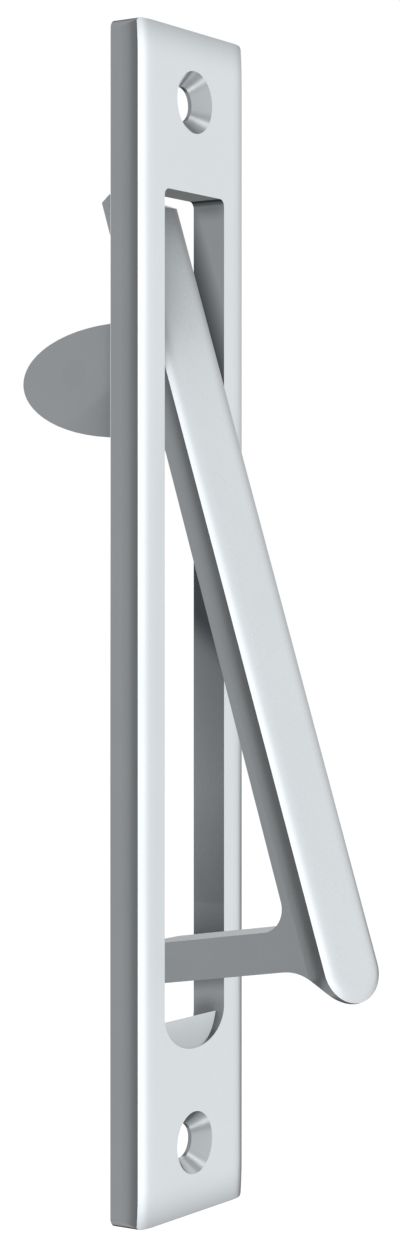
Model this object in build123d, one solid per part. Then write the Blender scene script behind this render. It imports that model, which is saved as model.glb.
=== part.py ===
from build123d import *
import os
from math import asin, atan2, cos, degrees, hypot, radians, sin, sqrt, tan

# Edge pull for a sliding pocket door: a slotted faceplate with a lever that swings out of the slot.
# Millimetres. X is the width, +Y runs back into the door and +Z is up.
# The origin is the middle of the faceplate's back face, halfway between the screws.

# Faceplate
plate_length = 158.75
plate_width = 25.4
plate_thickness = 5.0
plate_corner_round = 1.0
back_break = 0.2

# Polished crown: the front and the sides of plate and lever curve towards the edge between them
crown_width = 3.2
crown_drop = 0.6
end_crown_width = 5.0
end_crown_drop = 0.2
side_crown_depth = 3.0
side_crown_drop = 0.2

# Countersunk screw holes, with the plate hollowed out behind them
screw_inset = 9.525
screw_hole_diameter = 4.7
countersink_diameter = 8.4
countersink_angle = 82.0
screw_floor = 2.7
hollow_rim = 3.0
hollow_corner_radius = 3.0

# Slot, square at the top and half oval at the bottom, with a scoop there that seats the lever's tip
side_rail = 5.555
slot_top_inset = 21.775
slot_bottom_inset = 22.225
slot_corner_radius = 1.0
slot_end_rise = 4.9
seat_height = 4.0
seat_lip = 0.15
seat_slope = 16.0

# Pivot, and the lugs that carry its pin
pivot_height = 33.1
pivot_depth = 8.0
pin_diameter = 4.0
pin_running_gap = 0.05
lug_drop = 0.9
lug_reach = 16.5
lug_height = 15.2
lug_thickness = 2.6
lug_root_margin = 0.7

# Lever
open_angle = 17.45
lever_side_gap = 0.3
lever_top_gap = 2.4
lever_top_relief = 1.5
lever_top_chamfer = 1.5
lever_top_slant = 0.65
bar_thickness = 4.2
bar_top_thickness = 3.6
tip_edge = 0.9

# Boss round the pivot, tapering down to the bar
boss_radius = 5.5
boss_foot_drop = 13.0
boss_foot_round = 1.2
boss_top_round = 2.0

# Return arm, with a crosshead that stops the lever behind the plate
arm_thickness = 5.3
arm_height_above_tip = 8.65
arm_rise = 8.6
arm_top_round = 3.2
arm_under_round = 6.2
crosshead_overlap = 2.0
crosshead_thickness = 2.0
crosshead_height = 4.8
crosshead_round = 0.6
crosshead_stop_gap = 0.25

# Places that follow from these, with the lever drawn in line with the plate
plate_front = -plate_thickness
screw_spacing = plate_length - 2 * screw_inset
slot_width = plate_width - 2 * side_rail
slot_top = plate_length / 2 - slot_top_inset
slot_bottom = slot_bottom_inset - plate_length / 2
lug_middle_height = pivot_height - lug_drop
lug_root_round = side_rail - lug_thickness - lug_root_margin
lever_width = slot_width - 2 * lever_side_gap
lever_top = slot_top - lever_top_gap
slot_end_z = slot_bottom + slot_end_rise
lever_end_rise = slot_end_rise - lever_side_gap
tip_z = slot_end_z - lever_end_rise
bar_back = plate_front + bar_thickness
arm_root_z = tip_z + arm_height_above_tip
boss_foot_z = pivot_height - boss_foot_drop
seat_z = slot_bottom + seat_height
seat_edge_y = plate_front + seat_lip + seat_height * tan(radians(seat_slope))
lever_reach = lever_top - tip_z
past_face = 1.0


def crowned_section(width, back, crown):
    # Drawn as (across, Y), with its front on the plate's front
    half = width / 2
    flat = half - crown
    edge = (half - side_crown_drop, plate_front + crown_drop)
    side_y = plate_front + side_crown_depth
    front_arc = TangentArc((flat, plate_front), edge, tangent=(1, 0))
    side_arc = TangentArc((half, side_y), edge, tangent=(0, -1))
    outline = [
        Line((0, plate_front), (flat, plate_front)),
        front_arc,
        side_arc,
        Polyline((half, side_y), (half, back - back_break), (half - back_break, back), (0, back)),
        Line((0, back), (0, plate_front)),
    ]
    right_half = make_face(outline)
    return right_half + mirror(right_half, about=Plane.YZ)


def pivot_cylinder(diameter, length):
    return Pos(0, pivot_depth, pivot_height) * Cylinder(diameter / 2, length, rotation=(0, 90, 0))


# Faceplate

def slot_outline():
    straight = Pos(0, (slot_top + slot_end_z) / 2) * Rectangle(slot_width, slot_top - slot_end_z)
    top_corners = straight.vertices().group_by(Axis.Y)[-1]
    oval_end = Pos(0, slot_end_z) * Ellipse(slot_width / 2, slot_end_rise)
    return fillet(top_corners, slot_corner_radius) + oval_end


def slot_cut():
    # The seat is a scoop from a low lip to the edge of the opening
    outline = slot_outline()
    lip = (plate_front + seat_lip, slot_bottom)
    scoop = [
        TangentArc((seat_edge_y, seat_z), lip, tangent=(0, -1)),
        Polyline(lip, (plate_front, slot_bottom), (plate_front, seat_z), (seat_edge_y, seat_z)),
    ]
    seat = extrude(Plane.YZ * make_face(scoop), amount=slot_width, both=True)
    seat = seat & extrude(Plane.XZ * outline, amount=plate_thickness)

    above_seat = Pos(0, seat_z) * Rectangle(
        2 * slot_width, plate_length, align=(Align.CENTER, Align.MIN)
    )
    opening = outline & above_seat
    through = extrude(Plane.XZ.offset(plate_thickness) * opening, amount=-plate_thickness - past_face)

    # Behind the seat's edge the opening falls away towards the back
    fall = radians(seat_slope)
    sloped = extrude(
        Plane.XZ.offset(-seat_edge_y) * opening,
        amount=(past_face - seat_edge_y) / cos(fall),
        dir=(0, cos(fall), -sin(fall)),
    )
    return seat + through + sloped


def screw_hole():
    hole_radius = screw_hole_diameter / 2
    head_radius = countersink_diameter / 2
    cone_depth = (head_radius - hole_radius) / tan(radians(countersink_angle / 2))
    half_section = Polyline(
        (0, plate_front),
        (head_radius, plate_front),
        (hole_radius, plate_front + cone_depth),
        (hole_radius, past_face),
        (0, past_face),
        close=True,
    )
    return revolve(make_face(half_section), Axis.Y)


def end_hollow():
    length = 2 * (screw_inset - hollow_rim)
    width = plate_width - 2 * hollow_rim
    outline = RectangleRounded(width, length, hollow_corner_radius)
    return extrude(Plane.XZ * outline, amount=plate_thickness - screw_floor)


def pivot_lug(side):
    tongue = Pos(0, lug_middle_height) * Ellipse(lug_reach, lug_height / 2)
    from_plate = Pos(plate_front / 2, lug_middle_height) * Rectangle(
        2 * lug_reach, 2 * lug_height, align=(Align.MIN, Align.CENTER)
    )
    lug = extrude(Plane.YZ * (tongue & from_plate), amount=side * lug_thickness)
    return Pos(side * slot_width / 2, 0, 0) * lug


def plate_blank():
    # The crowned section runs up the front and turns back over each end
    turn_z = plate_length / 2 - end_crown_width
    turn_radius = (end_crown_width ** 2 + end_crown_drop ** 2) / (2 * end_crown_drop)
    past_end = degrees(4 * atan2(end_crown_drop, end_crown_width))
    run = Line((plate_front, 0), (plate_front, turn_z))
    turn = JernArc((plate_front, turn_z), (0, 1), turn_radius, -past_end)
    section = crowned_section(plate_width, past_face, crown_width)
    upper = sweep(section, path=Plane.YZ * Wire([run, turn]))
    outline = RectangleRounded(plate_width, plate_length, plate_corner_round)
    blank = extrude(Plane.XZ * outline, amount=plate_thickness) & (upper + mirror(upper, about=Plane.XY))
    back = blank.faces().sort_by(Axis.Y)[-1]
    return chamfer(back.edges(), back_break)


def make_faceplate():
    plate = plate_blank()
    plate = plate - slot_cut() + pivot_lug(-1) + pivot_lug(1)
    back_edges = plate.faces().filter_by(Axis.Y).sort_by(Axis.Y)[-1].edges()
    lug_roots = back_edges.filter_by_position(
        Axis.Z, lug_middle_height - lug_height, lug_middle_height + lug_height
    )
    plate = fillet(lug_roots, lug_root_round)

    for z in (-screw_spacing / 2, screw_spacing / 2):
        plate = plate - Pos(0, 0, z) * (end_hollow() + screw_hole())
    return plate - pivot_cylinder(pin_diameter, plate_width)


# Pull lever, drawn in line with the plate in side view as (Y, Z)

def arm_z(y, offset=0):
    rise = radians(arm_rise)
    return arm_root_z + (y - bar_back) * tan(rise) + offset / cos(rise)


def open_arm_z(open_y):
    # Height of the arm's middle at this depth, with the lever open
    turn = radians(open_angle)
    dy = bar_back - pivot_depth
    dz = arm_root_z - pivot_height
    root_y = pivot_depth + dy * cos(turn) + dz * sin(turn)
    root_z = pivot_height - dy * sin(turn) + dz * cos(turn)
    return root_z + (open_y - root_y) * tan(radians(arm_rise) - turn)


def closed_from_open(y, z):
    turn = radians(open_angle)
    dy = y - pivot_depth
    dz = z - pivot_height
    return (
        pivot_depth + dy * cos(turn) - dz * sin(turn),
        pivot_height + dy * sin(turn) + dz * cos(turn),
    )


def tip_back(z):
    # The tip's back leans as the seat does from its lip to its edge
    return plate_front + tip_edge + (z - tip_z) * tan(radians(seat_slope))


def bar_profile():
    top_back = plate_front + bar_top_thickness
    outline = Polyline(
        (plate_front, tip_z),
        (tip_back(tip_z), tip_z),
        (tip_back(arm_root_z), arm_root_z),
        (bar_back, arm_root_z),
        (top_back, lever_top - lever_top_slant),
        (top_back - lever_top_chamfer, lever_top),
        (plate_front, lever_top - lever_top_relief),
        close=True,
    )
    return make_face(outline)


def boss_profile():
    # The web's lower edge runs from the bar to touch the round of the boss
    to_pivot = pivot_depth - bar_back
    reach = hypot(to_pivot, boss_foot_drop)
    lean = atan2(boss_foot_drop, to_pivot) - asin(boss_radius / reach)
    run = sqrt(reach ** 2 - boss_radius ** 2)
    bar_middle = (plate_front + bar_back) / 2
    web = Polyline(
        (bar_middle, boss_foot_z - (bar_back - bar_middle) * tan(lean)),
        (bar_back + run * cos(lean), boss_foot_z + run * sin(lean)),
        (pivot_depth, pivot_height),
        (pivot_depth, pivot_height + boss_radius),
        (bar_middle, pivot_height + boss_radius),
        close=True,
    )
    return make_face(web) + Pos(pivot_depth, pivot_height) * Circle(boss_radius)


def arm_profile():
    # The arm starts inside the tip and ends square to the plate's back when the lever is open
    half = arm_thickness / 2
    start_y = (plate_front + tip_back(arm_root_z)) / 2
    end_y = crosshead_stop_gap + crosshead_thickness
    end_z = open_arm_z(end_y)
    half_end = half / cos(radians(open_angle - arm_rise))
    outline = Polyline(
        (start_y, arm_z(start_y, half)),
        (start_y, arm_z(start_y, -half)),
        closed_from_open(end_y, end_z - half_end),
        closed_from_open(end_y, end_z + half_end),
        close=True,
    )
    return make_face(outline)


def lever_profile():
    half = arm_thickness / 2
    under_arm = arm_z(bar_back, -half)
    profile = bar_profile() + boss_profile() + arm_profile()
    rounds = (
        (bar_back, boss_foot_z, boss_foot_round),
        (bar_back, pivot_height + boss_radius, boss_top_round),
        (bar_back, arm_z(bar_back, half), arm_top_round),
        (tip_back(under_arm), under_arm, arm_under_round),
    )
    for y, z, radius in rounds:
        corner = profile.vertices().sort_by_distance((y, z))[0]
        profile = fillet(corner, radius)
    return profile


def lever_envelope():
    # A crowned bar with a half-oval end, as deep as the lever
    section = crowned_section(lever_width, lever_reach, crown_width)
    bar = extrude(section, amount=lever_top - slot_end_z)
    round_end = revolve(split(section, bisect_by=Plane.YZ), Axis.Y)
    oval_end = scale(round_end, by=(1, 1, 2 * lever_end_rise / lever_width))
    return Pos(0, 0, slot_end_z) * (bar + oval_end)


def crosshead():
    middle_y = crosshead_stop_gap + crosshead_thickness / 2
    width = slot_width + 2 * crosshead_overlap
    bar = Box(width, crosshead_thickness, crosshead_height)
    bar = fillet(bar.edges().filter_by(Axis.Y), crosshead_round)
    return Pos(0, middle_y, open_arm_z(middle_y)) * bar


def make_pull_lever():
    lever = extrude(Plane.YZ * lever_profile(), amount=lever_width, both=True) & lever_envelope()
    lever = lever - pivot_cylinder(pin_diameter + 2 * pin_running_gap, 2 * lever_width)
    pivot = Axis((0, pivot_depth, pivot_height), (1, 0, 0))
    return lever.rotate(pivot, -open_angle) + crosshead()


def make_pivot_pin():
    return pivot_cylinder(pin_diameter, slot_width + 2 * lug_thickness)


os.makedirs("parts", exist_ok=True)
export_step(make_faceplate(), "parts/faceplate.step")
export_step(make_pull_lever(), "parts/pull_lever.step")
export_step(make_pivot_pin(), "parts/pivot_pin.step")
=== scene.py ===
import bpy
import math
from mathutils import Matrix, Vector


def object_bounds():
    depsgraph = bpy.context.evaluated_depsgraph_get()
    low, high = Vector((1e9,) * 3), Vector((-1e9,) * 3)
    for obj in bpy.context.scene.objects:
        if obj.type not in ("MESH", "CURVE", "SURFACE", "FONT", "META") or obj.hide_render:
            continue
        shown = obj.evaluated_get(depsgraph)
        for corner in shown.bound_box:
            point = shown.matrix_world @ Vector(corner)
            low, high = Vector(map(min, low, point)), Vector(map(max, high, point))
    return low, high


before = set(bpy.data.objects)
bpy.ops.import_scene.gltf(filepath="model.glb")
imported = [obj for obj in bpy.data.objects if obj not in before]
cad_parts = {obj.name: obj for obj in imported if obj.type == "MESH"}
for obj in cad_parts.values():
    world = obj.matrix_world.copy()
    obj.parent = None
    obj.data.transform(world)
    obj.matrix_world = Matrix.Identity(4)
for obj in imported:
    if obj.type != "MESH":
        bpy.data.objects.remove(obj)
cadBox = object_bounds()
print("frame loaded:", ", ".join(sorted(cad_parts)))


# shader maths: a Wire is one socket, and sums on wires add their own Math nodes
class Wire:
    def __init__(self, tree, socket=None):
        self.tree = tree
        self.socket = socket

    def add(self, kind, settings=None, values=None, out=0):
        node = self.tree.nodes.new(kind)
        for name, value in (settings or {}).items():
            setattr(node, name, value)
        for name, value in (values or {}).items():
            if isinstance(value, Wire):
                self.tree.links.new(value.socket, node.inputs[name])
            else:
                node.inputs[name].default_value = value
        return Wire(self.tree, node.outputs[out] if node.outputs else None)

    def other(self, name):
        return Wire(self.tree, self.socket.node.outputs[name])

    def maths(self, operation, first, second=0.0):
        return self.add("ShaderNodeMath", {"operation": operation}, {0: first, 1: second})

    def __add__(self, other):
        return self.maths("ADD", self, other)

    def __radd__(self, other):
        return self.maths("ADD", other, self)

    def __sub__(self, other):
        return self.maths("SUBTRACT", self, other)

    def __rsub__(self, other):
        return self.maths("SUBTRACT", other, self)

    def __mul__(self, other):
        return self.maths("MULTIPLY", self, other)

    def __rmul__(self, other):
        return self.maths("MULTIPLY", other, self)

    def __truediv__(self, other):
        return self.maths("DIVIDE", self, other)


def startTree(holder):
    holder.use_nodes = True
    holder.node_tree.nodes.clear()
    return Wire(holder.node_tree)


# 1 inside the span and 0 outside, with a soft edge
def between(tree, value, span, soft):
    rise, fall = [tree.add("ShaderNodeMapRange", {"interpolation_type": "SMOOTHSTEP"},
                           {"Value": value, "From Min": limit - soft, "From Max": limit + soft})
                  for limit in span]
    return rise * (1.0 - fall)


# polished chrome plate
plateChrome = {
    "name": "plateChrome",
    "tint": (0.672, 0.708, 0.730),
    "tintDull": (0.640, 0.676, 0.698),
    "roughness": 0.28,
    "roughnessSpread": 0.05,
    "hazeScale": 55.0,
    "lineScale": (2600.0, 2600.0, 60.0),
    "lineBump": 0.006,
    "peelScale": 900.0,
    "peelBump": 0.003,
    "bumpStrength": 0.35,
    "bumpDistance": 0.001,
    "shadeTint": (0.095, 0.107, 0.115),
    "shadeReach": 0.003,
    "shadeMore": 0.017,         # added where the lever stands off the slot
    "shadeSpan": ((-0.040, 0.026), 0.006),
    "shadeLean": 0.0,           # how far the light that makes the near shade leans to the left
    "shadeFront": 0.0,          # how much of the near shade the front takes, and the walls
    "shadeWalls": 1.0,
    "paintedShade": {
        "topWall": 0.85,        # painted shade on the slot's upper wall, which faces the dark floor
        "lever": 0.95,          # painted shadow that the lever throws on the slot's right wall
        "seat": (0.16, 0.30),   # painted shade on the seat, at its upper edge, and added towards its lip
        "ends": 0.42,           # painted shade at the plate's two ends
    },
}
leverChrome = dict(plateChrome, name="leverChrome", shadeReach=0.02, shadeMore=0.0, shadeLean=0.9,
                   shadeFront=1.2, shadeWalls=0.0, paintedShade=None)
pinChrome = dict(plateChrome, name="pinChrome", tint=(0.63, 0.665, 0.69), roughness=0.26, paintedShade=None)

# where the plate's painted shades lie, across, back and up the plate, each span with its soft edge
plateSpans = {
    "topWallAcross": ((-0.0074, 0.0074), 0.0002),
    "topWallUp": ((0.0569, 0.0582), 0.0003),
    "rightWallAcross": ((0.005, 0.0074), 0.0002),
    "rightWallBack": ((-0.006, 0.0002), 0.0002),
    "leverUp": ((-0.0025, 0.022), 0.0045),
    "leverSlant": 0.85,         # the lever's painted shadow hangs lower towards the front
    "seatAcross": ((-0.0073, 0.0073), 0.0002),
    "seatBack": ((-0.0049, -0.002), 0.00005),
    "seatUp": ((-0.0574, -0.0529), 0.0002),
    "frontBack": ((-0.006, -0.0038), 0.0003),
    "endUp": (0.0742, 0.0794),
}


# painted shade in the base colour where pieces come close and keep light off the polish
def nearShade(tree, look, up, facing, front):
    reach = look["shadeReach"] + between(tree, up, *look["shadeSpan"]) * look["shadeMore"]
    leaning = tree.add("ShaderNodeVectorMath", None, {0: facing, 1: (-look["shadeLean"], 0.0, 0.0)})
    leaning = tree.add("ShaderNodeVectorMath", {"operation": "NORMALIZE"}, {0: leaning})
    clear = tree.add("ShaderNodeAmbientOcclusion", {"samples": 8},
                     {"Distance": reach, "Normal": leaning}, "AO")
    bareFace = (1 + math.cos(math.atan(look["shadeLean"]))) / 2     # what a lone flat face keeps clear
    clear = clear / bareFace
    share = front * look["shadeFront"] + (1.0 - front) * look["shadeWalls"]
    return (1.0 - clear * clear) * share


# painted shades on the plate: in the slot, on the seat and at the ends of the front
def plateShade(tree, amounts, shade, across, back, up, front):
    # painted shade on the slot's upper wall, and the lever's painted shadow on its right wall
    walls = 1.0 - front
    topWall = (between(tree, up, *plateSpans["topWallUp"])
               * between(tree, across, *plateSpans["topWallAcross"]) * walls)
    shade = tree.maths("MAXIMUM", shade, topWall * amounts["topWall"])
    rightWall = (between(tree, across, *plateSpans["rightWallAcross"])
                 * between(tree, back, *plateSpans["rightWallBack"]) * walls)
    slanted = up - back * plateSpans["leverSlant"]
    paintedLeverShadow = between(tree, slanted, *plateSpans["leverUp"]) * rightWall
    shade = tree.maths("MAXIMUM", shade, paintedLeverShadow * amounts["lever"])

    # painted shade on the scooped seat, darker towards its lip
    seat = (between(tree, across, *plateSpans["seatAcross"])
            * between(tree, back, *plateSpans["seatBack"])
            * between(tree, up, *plateSpans["seatUp"]) * front)
    low, high = plateSpans["seatUp"][0]
    lip = (high - up) / (high - low)
    edgeShade, lipShade = amounts["seat"]
    shade = shade + seat * (edgeShade + lip * lipShade)

    # painted shade at the two ends of the front, darker towards each end
    low, high = plateSpans["endUp"]
    ends = tree.add("ShaderNodeMapRange", None,
                    {"Value": tree.maths("ABSOLUTE", up), "From Min": low, "From Max": high})
    onFront = between(tree, back, *plateSpans["frontBack"]) * front
    return shade + ends * ends * onFront * amounts["ends"]


def makeChrome(look):
    material = bpy.data.materials.new(look["name"])
    tree = startTree(material)
    place = tree.add("ShaderNodeTexCoord", out="Object")
    across = tree.add("ShaderNodeSeparateXYZ", None, {"Vector": place}, "X")
    back, up = across.other("Y"), across.other("Z")
    facing = tree.add("ShaderNodeNewGeometry", out="True Normal")
    ahead = tree.add("ShaderNodeSeparateXYZ", None, {"Vector": facing}, "Y")
    front = ahead * ahead

    # soft haze from the buffing wheel
    haze = tree.add("ShaderNodeTexNoise", None,
                    {"Vector": place, "Scale": look["hazeScale"], "Detail": 4.0, "Roughness": 0.6}, "Fac")
    tint = tree.add("ShaderNodeMix", {"data_type": "RGBA"},
                    {"Factor": haze, "A": (*look["tint"], 1.0), "B": (*look["tintDull"], 1.0)}, "Result")
    roughness = look["roughness"] + (haze - 0.5) * (2 * look["roughnessSpread"])

    # painted shade: the near shade, and on the plate its further shades, darken the tint towards shadeTint
    shade = nearShade(tree, look, up, facing, front)
    if look["paintedShade"]:
        shade = plateShade(tree, look["paintedShade"], shade, across, back, up, front)
    tint = tree.add("ShaderNodeMix", {"data_type": "RGBA"},
                    {"Factor": shade, "A": tint, "B": (*look["shadeTint"], 1.0)}, "Result")

    # fine polishing lines along the length, and the plating's slight orange peel
    stretched = tree.add("ShaderNodeMapping", None, {"Vector": place, "Scale": look["lineScale"]})
    lines = tree.add("ShaderNodeTexNoise", None, {"Vector": stretched, "Scale": 1.0, "Detail": 3.0}, "Fac")
    peel = tree.add("ShaderNodeTexNoise", None,
                    {"Vector": place, "Scale": look["peelScale"], "Detail": 2.0}, "Fac")
    bumpHeight = lines * look["lineBump"] + peel * look["peelBump"]
    relief = tree.add("ShaderNodeBump", None, {"Strength": look["bumpStrength"],
                                               "Distance": look["bumpDistance"], "Height": bumpHeight})

    shader = tree.add("ShaderNodeBsdfPrincipled", None,
                      {"Base Color": tint, "Metallic": 1.0, "Roughness": roughness, "Normal": relief})
    tree.add("ShaderNodeOutputMaterial", None, {"Surface": shader})
    return material


def dress(node, look):
    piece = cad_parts[node]
    piece.visible_glossy = False    # the pieces mirror the tent and not each other
    chrome = makeChrome(look)
    for slot in piece.material_slots:
        slot.material = chrome


dress("faceplate", plateChrome)
dress("pull_lever", leverChrome)
dress("pivot_pin", pinChrome)
print("chrome on plate, lever and pin")


def seenRays(tree):
    rays = tree.add("ShaderNodeLightPath", out="Is Camera Ray")
    glossy = rays.other("Is Glossy Ray")
    through = rays.other("Is Transmission Ray")
    return tree.maths("MAXIMUM", tree.maths("MAXIMUM", rays, glossy), through)


paleFloor = {
    "size": 10.0,
    "drop": 0.42,               # below the plate's lower end
    "tint": (0.93, 0.93, 0.93, 1.0),
    "topUp": 0.45,              # lifts the seen floor to white and leaves its shadows
}


def makeFloor():
    low = cadBox[0][2] - paleFloor["drop"]
    bpy.ops.object.select_all(action="DESELECT")
    bpy.ops.mesh.primitive_plane_add(size=paleFloor["size"], location=(0, 0, low))
    floor = bpy.context.object
    floor.name = "floor"
    bpy.ops.object.transform_apply(location=True)

    material = bpy.data.materials.new("paleFloor")
    tree = startTree(material)
    lit = tree.add("ShaderNodeBsdfDiffuse", None, {"Color": paleFloor["tint"]})
    dark = tree.add("ShaderNodeEmission", None, {"Strength": 0.0})
    topUp = tree.add("ShaderNodeEmission", None, {"Strength": paleFloor["topUp"]})
    extra = tree.add("ShaderNodeMixShader", None, {0: seenRays(tree), 1: dark, 2: topUp})
    shader = tree.add("ShaderNodeAddShader", None, {0: lit, 1: extra})
    tree.add("ShaderNodeOutputMaterial", None, {"Surface": shader})
    floor.data.materials.append(material)


# a light tent that only the metal's gloss sees
lightTent = {
    "radius": 0.48,
    "light": 0.43,
    "panels": {
        # from and to round the tent (degrees right of the front), low and high, soft edge, light
        "frontBank": {"round": (-20, 86), "up": (-33, 35), "soft": (30, 4), "light": 1.06},
        "edgeStrip": {"round": (6, 27), "up": (-30, 44), "soft": (8, 6), "light": 1.75},
        "highStreak": {"round": (-14, 24), "up": (51, 67), "soft": (9, 5), "light": 2.2},
        "lowStreak": {"round": (-14, 24), "up": (-67, -51), "soft": (9, 5), "light": 2.2},
        "cameraShade": {"round": (-111, -95), "up": (-85, 85), "soft": (5, 5), "light": 0.0},
        "conePanel": {"round": (-74, -14), "up": (-44, 44), "soft": (8, 6), "light": 0.72},
        "highShade": {"round": (86, 178), "up": (32, 88), "soft": (10, 8), "light": 0.22},
        "backGlow": {"round": (106, 165), "up": (1, 28), "soft": (10, 4), "light": 0.98},
        "lowShade": {"round": (86, 178), "up": (-88, -4), "soft": (10, 4), "light": 0.10},
    },
}


def makeTent():
    bpy.ops.object.select_all(action="DESELECT")
    bpy.ops.mesh.primitive_uv_sphere_add(segments=96, ring_count=48, radius=lightTent["radius"])
    tent = bpy.context.object
    tent.name = "lightTent"
    bpy.ops.object.shade_smooth()
    tent.visible_camera = False
    tent.visible_diffuse = False
    tent.visible_shadow = False

    material = bpy.data.materials.new("tentCloth")
    tree = startTree(material)
    place = tree.add("ShaderNodeTexCoord", out="Object")
    across = tree.add("ShaderNodeSeparateXYZ", None, {"Vector": place}, "X")
    back, up = across.other("Y"), across.other("Z")
    around = tree.maths("ARCTAN2", across, 0.0 - back) * (180 / math.pi)
    level = tree.maths("SQRT", across * across + back * back)
    height = tree.maths("ARCTAN2", up, level) * (180 / math.pi)
    light = lightTent["light"]
    for panel in lightTent["panels"].values():
        mask = (between(tree, around, panel["round"], panel["soft"][0])
                * between(tree, height, panel["up"], panel["soft"][1]))
        light = light + (panel["light"] - light) * mask
    glow = tree.add("ShaderNodeEmission", None, {"Strength": light})
    tree.add("ShaderNodeOutputMaterial", None, {"Surface": glow})
    tent.data.materials.append(material)


surroundings = {
    "tint": (1.0, 1.0, 1.0, 1.0),
    "ambient": 0.62,            # what lights the floor
    "backdrop": 1.0,            # what is seen
}


def makeSurroundings():
    world = bpy.data.worlds.new("studio")
    bpy.context.scene.world = world
    tree = startTree(world)
    soft, backdrop = [tree.add("ShaderNodeBackground", None,
                               {"Color": surroundings["tint"], "Strength": surroundings[use]})
                      for use in ("ambient", "backdrop")]
    both = tree.add("ShaderNodeMixShader", None, {0: seenRays(tree), 1: soft, 2: backdrop})
    tree.add("ShaderNodeOutputWorld", None, {"Surface": both})


makeFloor()
makeTent()
makeSurroundings()
print("floor, tent and surroundings ready")

lamps = {
    "overhead": {"place": (-0.2, -0.4, 1.4), "size": 1.2, "power": 14.0},
    "fill": {"place": (0.9, -0.9, 0.7), "size": 0.8, "power": 5.0},
}


def makeLamp(name, lamp):
    data = bpy.data.lights.new(name, "AREA")
    data.size = lamp["size"]
    data.energy = lamp["power"]
    light = bpy.data.objects.new(name, data)
    bpy.context.scene.collection.objects.link(light)
    light.location = lamp["place"]
    toObject = light.location * -1
    light.rotation_euler = toObject.to_track_quat("-Z", "Y").to_euler()
    light.visible_glossy = False


for name, lamp in lamps.items():
    makeLamp(name, lamp)
print("lamps placed")

# the camera stands level, to the left of the plate's front
view = {
    "place": (-0.30525, -0.20990, 0.006014),
    "yaw": -56.235,             # degrees from straight ahead, to the right of +Y
    "lens": 79.08,
    "drop": -0.0363,            # lens shift that frames the plate's lower end
    "nearest": 0.01,
}


def makeCamera():
    data = bpy.data.cameras.new("photoView")
    data.lens = view["lens"]
    data.shift_y = view["drop"]
    data.clip_start = view["nearest"]
    camera = bpy.data.objects.new("photoView", data)
    bpy.context.scene.collection.objects.link(camera)
    camera.location = view["place"]
    camera.rotation_euler = (math.radians(90), 0, math.radians(view["yaw"]))
    bpy.context.scene.camera = camera


makeCamera()
bpy.context.scene.view_settings.view_transform = "Standard"
print("camera placed")
